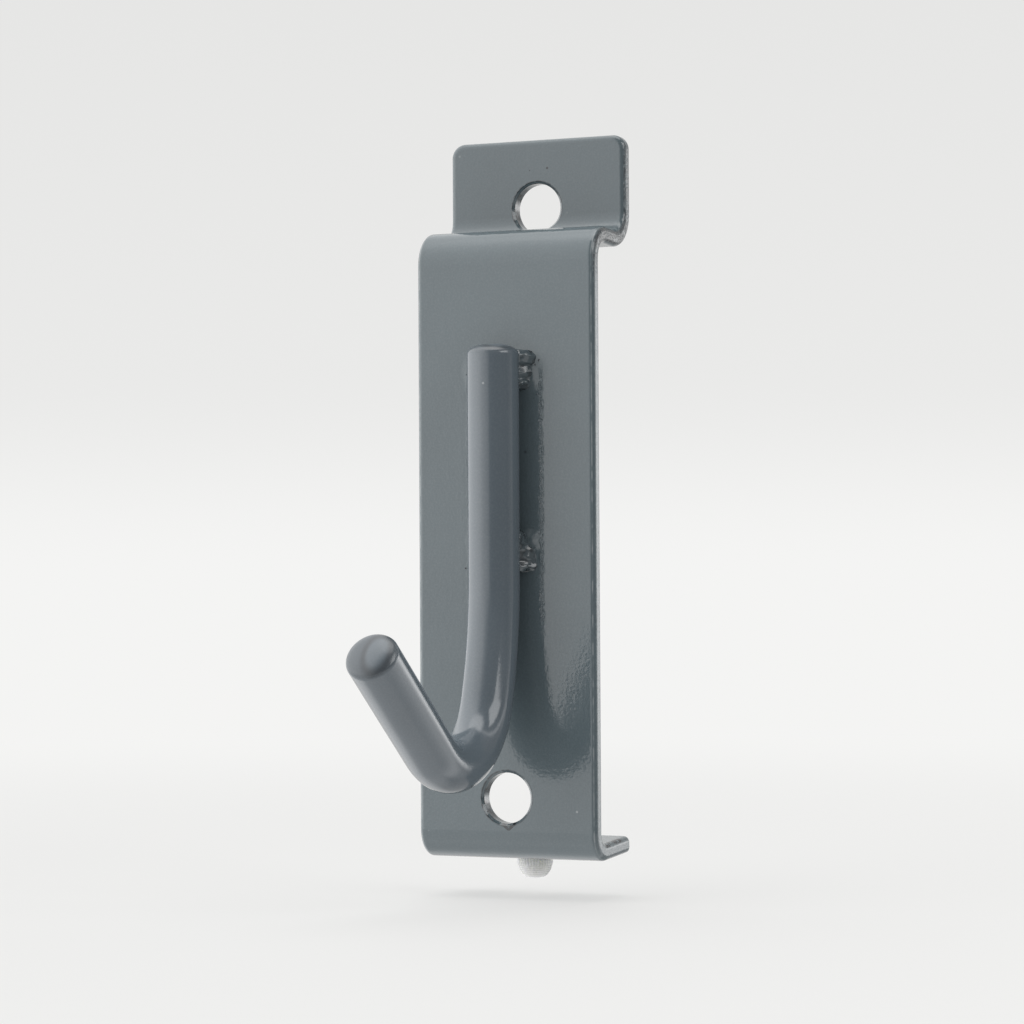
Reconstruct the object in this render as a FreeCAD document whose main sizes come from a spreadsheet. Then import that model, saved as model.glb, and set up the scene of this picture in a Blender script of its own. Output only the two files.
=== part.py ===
import FreeCAD, Part
import math
import os
import Sketcher

# Slatwall hook: a folded steel back plate with a hanging tongue and a foot, a round bar bent to a J
# and welded to the plate's front, and a plastic plug pushed through the foot.
# Frame: X across the plate, +Y back into the wall, +Z up. The plate's flat rear face lies in Y = 0
# and its middle is the origin. Millimetres and degrees.

os.makedirs("parts", exist_ok=True)
doc = FreeCAD.newDocument("slatwall_hook")
sheet = doc.addObject("Spreadsheet::Sheet", "sizes")

driving = {
    # folded sheet
    "plate_width": 24.0,
    "sheet_thickness": 2.1,
    "plate_height": 78.4,
    "edge_round": 0.7,
    # bends of the sheet, each by its inner radius
    "ridge_inner_radius": 2.3,
    "trough_inner_radius": 2.5,
    "foot_inner_radius": 1.5,
    "web_slope": 3.0,
    # tongue behind the rail's lip
    "lip_gap": 8.3,
    "tongue_rise": 12.1,
    "tongue_corner_radius": 1.8,
    # foot under the rail's lip
    "foot_depth": 9.45,
    "foot_slope": 3.5,
    "foot_corner_radius": 1.0,
    # screw holes
    "screw_hole_diameter": 6.3,
    "hole_rim_bevel": 0.3,
    "upper_hole_clearance": 0.2,
    "lower_hole_height": 7.7,
    # round bar
    "bar_diameter": 6.4,
    "bar_end_bevel": 0.9,
    "bar_standoff": 0.2,
    "bar_top_drop": 14.75,
    "bar_straight_length": 28.45,
    "bar_upper_bend_radius": 51.5,
    "bar_upper_bend_angle": 17.4,
    "bar_lower_bend_radius": 10.45,
    "arm_rise_angle": 37.4,
    "arm_length": 19.75,
    # welds, each by its middle below the ridge, its half sizes on the plate and its height
    "upper_weld_drop": 17.9,
    "lower_weld_drop": 40.3,
    "weld_half_length": 2.6,
    "weld_half_width": 4.6,
    "weld_height": 2.3,
    # plug in the foot
    "plug_setback": 6.6,
    "plug_stem_diameter": 2.8,
    "plug_head_diameter": 4.2,
    "plug_head_height": 0.6,
    "plug_collar_diameter": 4.55,
    "plug_collar_height": 1.5,
    "plug_end_diameter": 4.2,
    "plug_length": 3.0,
    "plug_end_bevel": 0.9,
    "plug_flute_count": 16,
    "plug_flute_depth": 0.25,
}
for row, (alias, number) in enumerate(driving.items(), start=1):
    sheet.set(f"A{row}", alias.replace("_", " "))
    sheet.set(f"B{row}", str(number))
    sheet.setAlias(f"B{row}", alias)
doc.recompute()

# Sizes worked out from the sheet, each written once and used for starting points and bindings alike
RIDGE_OUTER = "(sizes.ridge_inner_radius + sizes.sheet_thickness)"
TROUGH_OUTER = "(sizes.trough_inner_radius + sizes.sheet_thickness)"
FOOT_OUTER = "(sizes.foot_inner_radius + sizes.sheet_thickness)"
FLAT_HALF = f"((sizes.plate_height - {RIDGE_OUTER} - {FOOT_OUTER}) / 2)"
RIDGE_Z = f"({FLAT_HALF} + {RIDGE_OUTER})"
BOTTOM_Z = f"(-{FLAT_HALF} - {FOOT_OUTER})"
TONGUE_TOP_Z = f"({RIDGE_Z} + sizes.tongue_rise)"
HOLE_RADIUS = "(sizes.screw_hole_diameter / 2)"
UPPER_HOLE_Z = f"({RIDGE_Z} + sizes.upper_hole_clearance + {HOLE_RADIUS})"
LOWER_HOLE_Z = f"({BOTTOM_Z} + sizes.lower_hole_height)"
BAR_RADIUS = "(sizes.bar_diameter / 2)"
BAR_AXIS_Y = f"(-sizes.sheet_thickness - sizes.bar_standoff - {BAR_RADIUS})"
BAR_TOP_Z = f"({RIDGE_Z} - sizes.bar_top_drop)"
BEND_START_Z = f"({BAR_TOP_Z} - sizes.bar_straight_length)"
TROUGH_Y = "(sizes.lip_gap - sizes.trough_inner_radius)"
WEB_REACH = f"({RIDGE_OUTER} + sizes.trough_inner_radius)"
WEB_LENGTH = (
    f"(({TROUGH_Y} - sizes.ridge_inner_radius - {WEB_REACH} * sin(sizes.web_slope))"
    " / cos(sizes.web_slope))"
)
TROUGH_Z = f"({FLAT_HALF} + {WEB_REACH} * cos(sizes.web_slope) - {WEB_LENGTH} * sin(sizes.web_slope))"
FOOT_TANGENT_Y = f"(sizes.foot_inner_radius + {FOOT_OUTER} * sin(sizes.foot_slope))"
FOOT_TANGENT_Z = f"(-{FLAT_HALF} - {FOOT_OUTER} * cos(sizes.foot_slope))"
PLUG_Z = f"({FOOT_TANGENT_Z} + (sizes.plug_setback - {FOOT_TANGENT_Y}) * tan(sizes.foot_slope))"
WELD_RADIUS = "((sizes.weld_half_length ^ 2 + sizes.weld_height ^ 2) / (2 * sizes.weld_height))"
WELD_AXIS_Y = f"({WELD_RADIUS} - sizes.weld_height - sizes.sheet_thickness)"
WELD_STRAIGHT_HALF = "(sizes.weld_half_width - sizes.weld_half_length)"
WELD_CUT_SIZE = "(4 * sizes.weld_half_width)"
PLUG_HOLE_REACH = "(3 * sizes.sheet_thickness)"
FLUTE_BOTTOM = "(sizes.plug_end_diameter / 2 - sizes.plug_flute_depth)"
FLUTE_MOUTH = "(sizes.plug_end_diameter / 2 + sizes.plug_flute_depth)"

TOUCH = 1e-4
NEARLY_PARALLEL = 0.99
QUARTER_TURN = 90
FULL_TURN = 360
UP = FreeCAD.Vector(0, 0, 1)


def number(expression):
    return float(sheet.evalExpression(expression))


def new_body(name):
    body = doc.addObject("PartDesign::Body", name)
    body.Label = name
    return body


def origin_plane(body, role):
    return next(feature for feature in body.Origin.OriginFeatures if feature.Role == role)


def new_sketch(body, name, role):
    sketch = body.newObject("Sketcher::SketchObject", name)
    sketch.AttachmentSupport = [(origin_plane(body, role), "")]
    sketch.MapMode = "FlatFace"
    return sketch


def constrain(sketch, *arguments):
    sketch.addConstraint(Sketcher.Constraint(*arguments))


def bind(sketch, name, expression, kind, *geometry):
    """Add a dimension, name it and tie it to the sheet."""
    value = number(expression)
    if kind == "Angle":
        value = math.radians(value)
    index = sketch.addConstraint(Sketcher.Constraint(kind, *geometry, value))
    sketch.renameConstraint(index, name)
    sketch.setExpression(f"Constraints.{name}", expression)


def point(across, up):
    return FreeCAD.Vector(across, up, 0)


def line(sketch, start, end):
    return sketch.addGeometry(Part.LineSegment(start, end), False)


def arc(sketch, centre, radius, start_angle, end_angle):
    circle = Part.Circle(centre, UP, radius)
    curve = Part.ArcOfCircle(circle, math.radians(start_angle), math.radians(end_angle))
    return sketch.addGeometry(curve, False)


def on_arc(centre, radius, angle):
    turn = math.radians(angle)
    return point(centre.x + radius * math.cos(turn), centre.y + radius * math.sin(turn))


def is_sharp(shape, edge):
    """True where the edge's two faces meet at an angle."""
    faces = shape.ancestorsOfType(edge, Part.Face)
    if len(faces) != 2:
        return False
    middle = edge.valueAt((edge.FirstParameter + edge.LastParameter) / 2)
    first, second = [face.normalAt(*face.Surface.parameter(middle)) for face in faces]
    return first.dot(second) < NEARLY_PARALLEL


def edge_names(feature, wanted):
    shape = feature.Shape
    return [f"Edge{i}" for i, edge in enumerate(shape.Edges, start=1) if wanted(shape, edge)]


def round_edges(body, name, expression, wanted):
    """Round the edges of the body's tip that the test picks."""
    doc.recompute()
    base = body.Tip
    fillet = body.newObject("PartDesign::Fillet", name)
    fillet.Base = (base, edge_names(base, wanted))
    fillet.setExpression("Radius", expression)
    doc.recompute()


def bevel_edges(body, name, expression, wanted):
    """Bevel the edges of the body's tip that the test picks."""
    doc.recompute()
    base = body.Tip
    chamfer = body.newObject("PartDesign::Chamfer", name)
    chamfer.Base = (base, edge_names(base, wanted))
    chamfer.setExpression("Size", expression)
    doc.recompute()


def cut_through(body, sketch, name, length_expression=None):
    """Cut a sketch both ways from its plane, right through or by a length."""
    doc.recompute()
    volume = body.Shape.Volume
    pocket = body.newObject("PartDesign::Pocket", name)
    pocket.Profile = sketch
    pocket.Midplane = True
    if length_expression:
        pocket.setExpression("Length", length_expression)
    else:
        pocket.Type = "ThroughAll"
    doc.recompute()
    assert body.Shape.Volume < volume, f"{name} cuts nothing"
    return pocket


# Back plate: the side profile of the folded strip, padded across its width


def fold_side(sketch, trough_radius, ridge_radius, foot_radius, tongue_y, plate_y):
    """One side of the strip from the tongue's top to the foot's tip, with its bends tangent."""
    web_slope = number("sizes.web_slope")
    foot_slope = number("sizes.foot_slope")
    trough = point(number(TROUGH_Y), number(TROUGH_Z))
    ridge = point(number("sizes.ridge_inner_radius"), number(FLAT_HALF))
    foot = point(number("sizes.foot_inner_radius"), -number(FLAT_HALF))
    web_back = on_arc(trough, trough_radius, -90 - web_slope)
    web_front = on_arc(ridge, ridge_radius, 90 - web_slope)
    foot_start = on_arc(foot, foot_radius, 270 + foot_slope)
    foot_run = (number("sizes.foot_depth") - foot_start.x) / math.cos(math.radians(foot_slope))
    foot_end = on_arc(foot_start, foot_run, foot_slope)

    tongue = line(sketch, point(tongue_y, number(TONGUE_TOP_Z)), point(tongue_y, trough.y))
    trough_bend = arc(sketch, trough, trough_radius, -90 - web_slope, 0)
    web = line(sketch, web_back, web_front)
    ridge_bend = arc(sketch, ridge, ridge_radius, 90 - web_slope, 180)
    plate = line(sketch, point(plate_y, ridge.y), point(plate_y, foot.y))
    foot_bend = arc(sketch, foot, foot_radius, 180, 270 + foot_slope)
    flange = line(sketch, foot_start, foot_end)

    constrain(sketch, "Tangent", tongue, 2, trough_bend, 2)
    constrain(sketch, "Tangent", trough_bend, 1, web, 1)
    constrain(sketch, "Tangent", web, 2, ridge_bend, 1)
    constrain(sketch, "Tangent", ridge_bend, 2, plate, 1)
    constrain(sketch, "Tangent", plate, 2, foot_bend, 1)
    constrain(sketch, "Tangent", foot_bend, 2, flange, 1)
    constrain(sketch, "Vertical", tongue)
    return tongue, trough_bend, web, ridge_bend, plate, foot_bend, flange


def draw_side_profile(sketch):
    thickness = number("sizes.sheet_thickness")
    lip_gap = number("sizes.lip_gap")
    front = fold_side(
        sketch,
        number("sizes.trough_inner_radius"),
        number(RIDGE_OUTER),
        number(FOOT_OUTER),
        lip_gap,
        -thickness,
    )
    rear = fold_side(
        sketch,
        number(TROUGH_OUTER),
        number("sizes.ridge_inner_radius"),
        number("sizes.foot_inner_radius"),
        lip_gap + thickness,
        0,
    )
    tongue, trough_bend, web, ridge_bend, plate, foot_bend, flange = front
    rear_tongue, rear_trough, rear_web, rear_ridge, rear_plate, rear_foot, rear_flange = rear

    bend_pairs = ((trough_bend, rear_trough), (ridge_bend, rear_ridge), (foot_bend, rear_foot))
    for front_bend, rear_bend in bend_pairs:
        constrain(sketch, "Coincident", front_bend, 3, rear_bend, 3)
    top_cap = line(sketch, sketch.getPoint(tongue, 1), sketch.getPoint(rear_tongue, 1))
    constrain(sketch, "Coincident", top_cap, 1, tongue, 1)
    constrain(sketch, "Coincident", top_cap, 2, rear_tongue, 1)
    constrain(sketch, "Horizontal", top_cap)
    tip_cap = line(sketch, sketch.getPoint(flange, 2), sketch.getPoint(rear_flange, 2))
    constrain(sketch, "Coincident", tip_cap, 1, flange, 2)
    constrain(sketch, "Coincident", tip_cap, 2, rear_flange, 2)
    constrain(sketch, "Parallel", flange, rear_flange)
    constrain(sketch, "Perpendicular", flange, tip_cap)
    constrain(sketch, "Vertical", plate)
    constrain(sketch, "PointOnObject", rear_plate, 1, -2)

    bind(sketch, "trough_inner", "sizes.trough_inner_radius", "Radius", trough_bend)
    bind(sketch, "trough_outer", TROUGH_OUTER, "Radius", rear_trough)
    bind(sketch, "ridge_inner", "sizes.ridge_inner_radius", "Radius", rear_ridge)
    bind(sketch, "ridge_outer", RIDGE_OUTER, "Radius", ridge_bend)
    bind(sketch, "foot_inner", "sizes.foot_inner_radius", "Radius", rear_foot)
    bind(sketch, "foot_outer", FOOT_OUTER, "Radius", foot_bend)
    bind(sketch, "web_slope", "180 - sizes.web_slope", "Angle", web)
    bind(sketch, "foot_slope", "sizes.foot_slope", "Angle", flange)
    bind(sketch, "lip_gap", "sizes.lip_gap", "DistanceX", -1, 1, tongue, 2)
    bind(sketch, "tongue_top", TONGUE_TOP_Z, "DistanceY", -1, 1, tongue, 1)
    bind(sketch, "flat_above", FLAT_HALF, "DistanceY", -1, 1, rear_plate, 1)
    bind(sketch, "flat_below", FLAT_HALF, "DistanceY", rear_plate, 2, -1, 1)
    bind(sketch, "foot_depth", "sizes.foot_depth", "DistanceX", -1, 1, flange, 2)


def drill_screw_hole(body, name, height_expression):
    sketch = new_sketch(body, name + "_sketch", "XZ_Plane")
    centre = point(0, number(height_expression))
    circle = sketch.addGeometry(Part.Circle(centre, UP, number(HOLE_RADIUS)), False)
    constrain(sketch, "PointOnObject", circle, 3, -2)
    bind(sketch, "height", height_expression, "DistanceY", -1, 1, circle, 3)
    bind(sketch, "radius", HOLE_RADIUS, "Radius", circle)
    cut_through(body, sketch, name)


def drill_plug_hole(body):
    """The plug's hole, square to the sloping foot."""
    sketch = new_sketch(body, "plug_hole_sketch", "XY_Plane")
    tilt = FreeCAD.Rotation(FreeCAD.Vector(1, 0, 0), number("sizes.foot_slope"))
    seat = FreeCAD.Vector(0, number("sizes.plug_setback"), number(PLUG_Z))
    sketch.AttachmentOffset = FreeCAD.Placement(seat, tilt)
    sketch.setExpression("AttachmentOffset.Base.y", "sizes.plug_setback")
    sketch.setExpression("AttachmentOffset.Base.z", PLUG_Z)
    sketch.setExpression("AttachmentOffset.Rotation.Angle", "sizes.foot_slope")
    hole = Part.Circle(point(0, 0), UP, number("sizes.plug_stem_diameter / 2"))
    circle = sketch.addGeometry(hole, False)
    constrain(sketch, "Coincident", circle, 3, -1, 1)
    bind(sketch, "radius", "sizes.plug_stem_diameter / 2", "Radius", circle)
    cut_through(body, sketch, "plug_hole", PLUG_HOLE_REACH)


def make_back_plate():
    body = new_body("back_plate")
    profile = new_sketch(body, "side_profile", "YZ_Plane")
    draw_side_profile(profile)
    pad = body.newObject("PartDesign::Pad", "folded_strip")
    pad.Profile = profile
    pad.Midplane = True
    pad.setExpression("Length", "sizes.plate_width")

    half_width = number("sizes.plate_width / 2")
    thickness = number("sizes.sheet_thickness")
    top = number(TONGUE_TOP_Z)
    foot_depth = number("sizes.foot_depth")

    def along_thickness(edge):
        at_side = all(abs(abs(vertex.X) - half_width) < TOUCH for vertex in edge.Vertexes)
        return at_side and abs(edge.Length - thickness) < TOUCH

    def tongue_corner(shape, edge):
        at_top = all(abs(vertex.Z - top) < TOUCH for vertex in edge.Vertexes)
        return along_thickness(edge) and at_top

    def foot_corner(shape, edge):
        at_tip = max(vertex.Y for vertex in edge.Vertexes) > foot_depth - TOUCH
        return along_thickness(edge) and at_tip and edge.BoundBox.ZMax < 0

    def hole_rim(shape, edge):
        radius = number(HOLE_RADIUS)
        return isinstance(edge.Curve, Part.Circle) and abs(edge.Curve.Radius - radius) < TOUCH

    round_edges(body, "tongue_corners", "sizes.tongue_corner_radius", tongue_corner)
    round_edges(body, "foot_corners", "sizes.foot_corner_radius", foot_corner)
    round_edges(body, "edge_rounding", "sizes.edge_round", is_sharp)
    drill_screw_hole(body, "upper_screw_hole", UPPER_HOLE_Z)
    drill_screw_hole(body, "lower_screw_hole", LOWER_HOLE_Z)
    bevel_edges(body, "hole_rims", "sizes.hole_rim_bevel", hole_rim)
    drill_plug_hole(body)
    return body


# Round bar: a circle swept along a straight run, two bends and the rising arm


def make_hook_rod():
    body = new_body("hook_rod")
    axis_y = number(BAR_AXIS_Y)
    top = number(BAR_TOP_Z)
    bend_start = number(BEND_START_Z)
    upper_radius = number("sizes.bar_upper_bend_radius")
    lower_radius = number("sizes.bar_lower_bend_radius")
    upper_angle = number("sizes.bar_upper_bend_angle")
    rise = number("sizes.arm_rise_angle")

    path = new_sketch(body, "bar_path", "YZ_Plane")
    upper_centre = point(axis_y - upper_radius, bend_start)
    change = on_arc(upper_centre, upper_radius, -upper_angle)
    lower_centre = on_arc(upper_centre, upper_radius - lower_radius, -upper_angle)
    arm_start = on_arc(lower_centre, lower_radius, -90 - rise)
    arm_end = on_arc(arm_start, number("sizes.arm_length"), 180 - rise)
    shank = line(path, point(axis_y, top), point(axis_y, bend_start))
    upper_bend = arc(path, upper_centre, upper_radius, -upper_angle, 0)
    lower_bend = arc(path, lower_centre, lower_radius, -90 - rise, -upper_angle)
    arm = line(path, arm_start, arm_end)
    constrain(path, "Tangent", shank, 2, upper_bend, 2)
    constrain(path, "Tangent", upper_bend, 1, lower_bend, 2)
    constrain(path, "Tangent", lower_bend, 1, arm, 1)
    constrain(path, "Vertical", shank)
    bind(path, "axis_setoff", f"-{BAR_AXIS_Y}", "DistanceX", shank, 1, -1, 1)
    bind(path, "top", BAR_TOP_Z, "DistanceY", -1, 1, shank, 1)
    bind(path, "straight_length", "sizes.bar_straight_length", "Distance", shank)
    bind(path, "upper_radius", "sizes.bar_upper_bend_radius", "Radius", upper_bend)
    bind(path, "upper_angle", "sizes.bar_upper_bend_angle", "Angle", upper_bend)
    bind(path, "lower_radius", "sizes.bar_lower_bend_radius", "Radius", lower_bend)
    bind(path, "arm_rise", "180 - sizes.arm_rise_angle", "Angle", arm)
    bind(path, "arm_length", "sizes.arm_length", "Distance", arm)

    section = new_sketch(body, "bar_section", "XY_Plane")
    section.AttachmentOffset = FreeCAD.Placement(FreeCAD.Vector(0, 0, top), FreeCAD.Rotation())
    section.setExpression("AttachmentOffset.Base.z", BAR_TOP_Z)
    circle = section.addGeometry(Part.Circle(point(0, axis_y), UP, number(BAR_RADIUS)), False)
    constrain(section, "PointOnObject", circle, 3, -2)
    bind(section, "axis_setoff", f"-{BAR_AXIS_Y}", "DistanceY", circle, 3, -1, 1)
    bind(section, "radius", BAR_RADIUS, "Radius", circle)
    doc.recompute()

    bar = body.newObject("PartDesign::AdditivePipe", "bent_bar")
    bar.Profile = section
    bar.Spine = path
    bevel_edges(body, "bar_ends", "sizes.bar_end_bevel", is_sharp)
    return body


# Welds: a mound on the plate under and beside the bar, hollowed by the bar


def make_weld(name, drop_alias):
    height = f"({RIDGE_Z} - sizes.{drop_alias})"
    across = FreeCAD.Rotation(FreeCAD.Vector(0, 1, 0), QUARTER_TURN)
    middle = doc.addObject("Part::Cylinder", name + "_middle")
    middle.Placement.Rotation = across
    middle.setExpression("Radius", WELD_RADIUS)
    middle.setExpression("Height", f"2 * {WELD_STRAIGHT_HALF}")
    middle.setExpression("Placement.Base.x", f"-{WELD_STRAIGHT_HALF}")
    middle.setExpression("Placement.Base.y", WELD_AXIS_Y)
    middle.setExpression("Placement.Base.z", height)
    rounds = []
    for side, sign in (("left", "-"), ("right", "")):
        end = doc.addObject("Part::Sphere", f"{name}_{side}_end")
        end.setExpression("Radius", WELD_RADIUS)
        end.setExpression("Placement.Base.x", sign + WELD_STRAIGHT_HALF)
        end.setExpression("Placement.Base.y", WELD_AXIS_Y)
        end.setExpression("Placement.Base.z", height)
        rounds.append(end)
    mound = doc.addObject("Part::MultiFuse", name + "_mound")
    mound.Shapes = [middle] + rounds

    plate_side = doc.addObject("Part::Box", name + "_plate_side")
    for side in ("Length", "Width", "Height"):
        plate_side.setExpression(side, WELD_CUT_SIZE)
    plate_side.setExpression("Placement.Base.x", f"-{WELD_CUT_SIZE} / 2")
    plate_side.setExpression("Placement.Base.y", "-sizes.sheet_thickness")
    plate_side.setExpression("Placement.Base.z", f"{height} - {WELD_CUT_SIZE} / 2")

    bar_bed = doc.addObject("Part::Cylinder", name + "_bar_bed")
    bar_bed.setExpression("Radius", BAR_RADIUS)
    bar_bed.setExpression("Height", WELD_CUT_SIZE)
    bar_bed.setExpression("Placement.Base.y", BAR_AXIS_Y)
    bar_bed.setExpression("Placement.Base.z", f"{height} - {WELD_CUT_SIZE} / 2")

    on_plate = doc.addObject("Part::Cut", name + "_on_plate")
    on_plate.Base = mound
    on_plate.Tool = plate_side
    weld = doc.addObject("Part::Cut", name)
    weld.Label = name
    weld.Base = on_plate
    weld.Tool = bar_bed
    return weld


# Plug: a turned form with a head above the foot, and a collar and a fluted end below it


def make_foot_plug():
    body = new_body("foot_plug")
    profile = new_sketch(body, "plug_profile", "XZ_Plane")
    stem_radius = "(sizes.plug_stem_diameter / 2)"
    head_radius = "(sizes.plug_head_diameter / 2)"
    collar_radius = "(sizes.plug_collar_diameter / 2)"
    end_radius = "(sizes.plug_end_diameter / 2)"
    head_top = "(sizes.sheet_thickness + sizes.plug_head_height)"
    outline = [
        ("0", head_top),
        (head_radius, head_top),
        (head_radius, "sizes.sheet_thickness"),
        (stem_radius, "sizes.sheet_thickness"),
        (stem_radius, "0"),
        (collar_radius, "0"),
        (collar_radius, "-sizes.plug_collar_height"),
        (end_radius, "-sizes.plug_collar_height"),
        (end_radius, "-sizes.plug_length"),
        ("0", "-sizes.plug_length"),
    ]
    corners = [point(number(across), number(up)) for across, up in outline]
    runs = [line(profile, corners[i - 1], corners[i]) for i in range(1, len(corners))]
    runs.append(line(profile, corners[-1], corners[0]))
    for run, following in zip(runs, runs[1:] + runs[:1]):
        constrain(profile, "Coincident", run, 2, following, 1)
    for run in runs[0::2]:
        constrain(profile, "Horizontal", run)
    for run in runs[1::2]:
        constrain(profile, "Vertical", run)
    constrain(profile, "PointOnObject", runs[0], 1, -2)
    constrain(profile, "PointOnObject", runs[4], 1, -1)
    bind(profile, "head_radius", head_radius, "DistanceX", -1, 1, runs[0], 2)
    bind(profile, "head_top", head_top, "DistanceY", -1, 1, runs[0], 2)
    bind(profile, "head_seat", "sizes.sheet_thickness", "DistanceY", -1, 1, runs[1], 2)
    bind(profile, "stem_radius", stem_radius, "DistanceX", -1, 1, runs[2], 2)
    bind(profile, "collar_radius", collar_radius, "DistanceX", -1, 1, runs[4], 2)
    bind(profile, "collar_height", "sizes.plug_collar_height", "DistanceY", runs[5], 2, -1, 1)
    bind(profile, "end_radius", end_radius, "DistanceX", -1, 1, runs[6], 2)
    bind(profile, "plug_length", "sizes.plug_length", "DistanceY", runs[7], 2, -1, 1)
    turned = body.newObject("PartDesign::Revolution", "turned_plug")
    turned.Profile = profile
    turned.ReferenceAxis = (profile, ["V_Axis"])
    turned.Angle = FULL_TURN

    plug_length = number("sizes.plug_length")

    def end_rim(shape, edge):
        return is_sharp(shape, edge) and abs(edge.BoundBox.ZMax + plug_length) < TOUCH

    bevel_edges(body, "plug_end", "sizes.plug_end_bevel", end_rim)
    cut_flutes(body)

    seat = FreeCAD.Vector(0, number("sizes.plug_setback"), number(PLUG_Z))
    tilt = FreeCAD.Rotation(FreeCAD.Vector(1, 0, 0), number("sizes.foot_slope"))
    body.Placement = FreeCAD.Placement(seat, tilt)
    body.setExpression("Placement.Base.y", "sizes.plug_setback")
    body.setExpression("Placement.Base.z", PLUG_Z)
    body.setExpression("Placement.Rotation.Angle", "sizes.foot_slope")
    return body


def cut_flutes(body):
    """V grooves around the plug's end, drawn as one and repeated about its axis."""
    flute = new_sketch(body, "flute_section", "XY_Plane")
    flute.setExpression("AttachmentOffset.Base.z", "-sizes.plug_collar_height")
    mouth = number(FLUTE_MOUTH)
    half_mouth = number("2 * sizes.plug_flute_depth")
    bottom = point(number(FLUTE_BOTTOM), 0)
    flanks = [
        line(flute, bottom, point(mouth, half_mouth)),
        line(flute, point(mouth, half_mouth), point(mouth, -half_mouth)),
        line(flute, point(mouth, -half_mouth), bottom),
    ]
    for flank, following in zip(flanks, flanks[1:] + flanks[:1]):
        constrain(flute, "Coincident", flank, 2, following, 1)
    constrain(flute, "PointOnObject", flanks[0], 1, -1)
    constrain(flute, "Symmetric", flanks[1], 1, flanks[1], 2, -1)
    bind(flute, "bottom", FLUTE_BOTTOM, "DistanceX", -1, 1, flanks[0], 1)
    bind(flute, "mouth", FLUTE_MOUTH, "DistanceX", -1, 1, flanks[1], 1)
    bind(flute, "half_mouth", "2 * sizes.plug_flute_depth", "DistanceY", -1, 1, flanks[1], 1)
    doc.recompute()
    volume = body.Shape.Volume
    cut = body.newObject("PartDesign::Pocket", "flute")
    cut.Profile = flute
    cut.Type = "ThroughAll"
    pattern = body.newObject("PartDesign::PolarPattern", "flutes")
    pattern.Originals = [cut]
    pattern.Axis = (flute, ["N_Axis"])
    pattern.Angle = FULL_TURN
    pattern.setExpression("Occurrences", "sizes.plug_flute_count")
    body.Tip = pattern
    doc.recompute()
    assert body.Shape.Volume < volume, "the flutes cut nothing"


parts = [
    make_back_plate(),
    make_hook_rod(),
    make_weld("upper_weld", "upper_weld_drop"),
    make_weld("lower_weld", "lower_weld_drop"),
    make_foot_plug(),
]
doc.recompute()

for item in doc.Objects:
    if "Invalid" in item.State or "Error" in item.State:
        raise RuntimeError(f"{item.Name} failed: {item.State}")
for part in parts:
    shape = part.Shape
    if shape.isNull() or not shape.isValid() or len(shape.Solids) != 1:
        raise RuntimeError(f"{part.Label} is not one valid solid")

for part in parts:
    part.Shape.exportStep(f"parts/{part.Label}.step")
    box = part.Shape.BoundBox
    print(f"{part.Label}: {part.Shape.Volume:.1f} mm3, Y {box.YMin:.2f} to {box.YMax:.2f}, "
          f"Z {box.ZMin:.2f} to {box.ZMax:.2f}")
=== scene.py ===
import math
import random

import bpy
from mathutils import Matrix, Vector, noise


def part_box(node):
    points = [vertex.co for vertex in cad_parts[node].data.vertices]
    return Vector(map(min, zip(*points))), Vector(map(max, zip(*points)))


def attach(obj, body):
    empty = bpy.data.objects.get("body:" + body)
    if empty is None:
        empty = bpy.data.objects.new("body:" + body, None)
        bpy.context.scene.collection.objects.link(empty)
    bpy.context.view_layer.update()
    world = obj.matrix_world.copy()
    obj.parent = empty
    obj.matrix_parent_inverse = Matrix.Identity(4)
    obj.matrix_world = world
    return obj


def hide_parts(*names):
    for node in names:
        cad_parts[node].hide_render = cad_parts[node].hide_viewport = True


# Slatwall hook: powder-coated folded plate, bent bar, two weld beads and a clear plug in the foot.
# The scene is in metres, in the part's own frame: X across, +Y into the wall, +Z up.
# Sizes below are in millimetres unless MM or a comment says otherwise.

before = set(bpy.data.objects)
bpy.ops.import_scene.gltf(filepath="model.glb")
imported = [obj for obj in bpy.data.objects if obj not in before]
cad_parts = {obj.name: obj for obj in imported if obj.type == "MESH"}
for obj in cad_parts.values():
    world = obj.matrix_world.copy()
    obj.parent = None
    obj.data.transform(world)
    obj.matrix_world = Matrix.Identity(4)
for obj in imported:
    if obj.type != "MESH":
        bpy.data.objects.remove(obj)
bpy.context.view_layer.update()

MM = 0.001

# Plate and bar, as in the solids, but with a slightly longer arm for the dome of its end
SHEET = 2.1
PLATE_HALF_WIDTH = 12.0
PLATE_FACE_Y = -SHEET
LIP_GAP = 8.3
FOOT_SLOPE = math.radians(3.5)
HOLE_RADIUS = 3.15
# Each hole's height and the face of the sheet that it starts at
HOLES = ((42.95, LIP_GAP), (-31.1, PLATE_FACE_Y))
BAR_RADIUS = 3.2
BAR_STANDOFF = 0.2
BAR_AXIS_Y = PLATE_FACE_Y - BAR_STANDOFF - BAR_RADIUS
BAR_STRAIGHT = 28.45
UPPER_BEND_RADIUS = 51.5
UPPER_BEND_TURN = math.radians(17.4)
LOWER_BEND_RADIUS = 10.45
ARM_TURN = math.radians(90 + 37.4)
ARM_LENGTH = 19.92
# Steps along each stretch of the bar and round it
STRAIGHT_STEPS = 60
UPPER_BEND_STEPS = 24
LOWER_BEND_STEPS = 90
ARM_STEPS = 30
BAR_AROUND = 96

# Bar's ends: depth and squareness of the rounded rim, and height of the dome
BAR_END_DEPTH = 0.85
BAR_END_POWER = 5
BAR_END_DOME = 0.42
# Rings over each end: even steps up to the edge share, then ever closer ones to the rim
END_FLAT_STEPS = 15
END_RIM_STEPS = 16
END_EDGE_SHARE = 0.6

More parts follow.
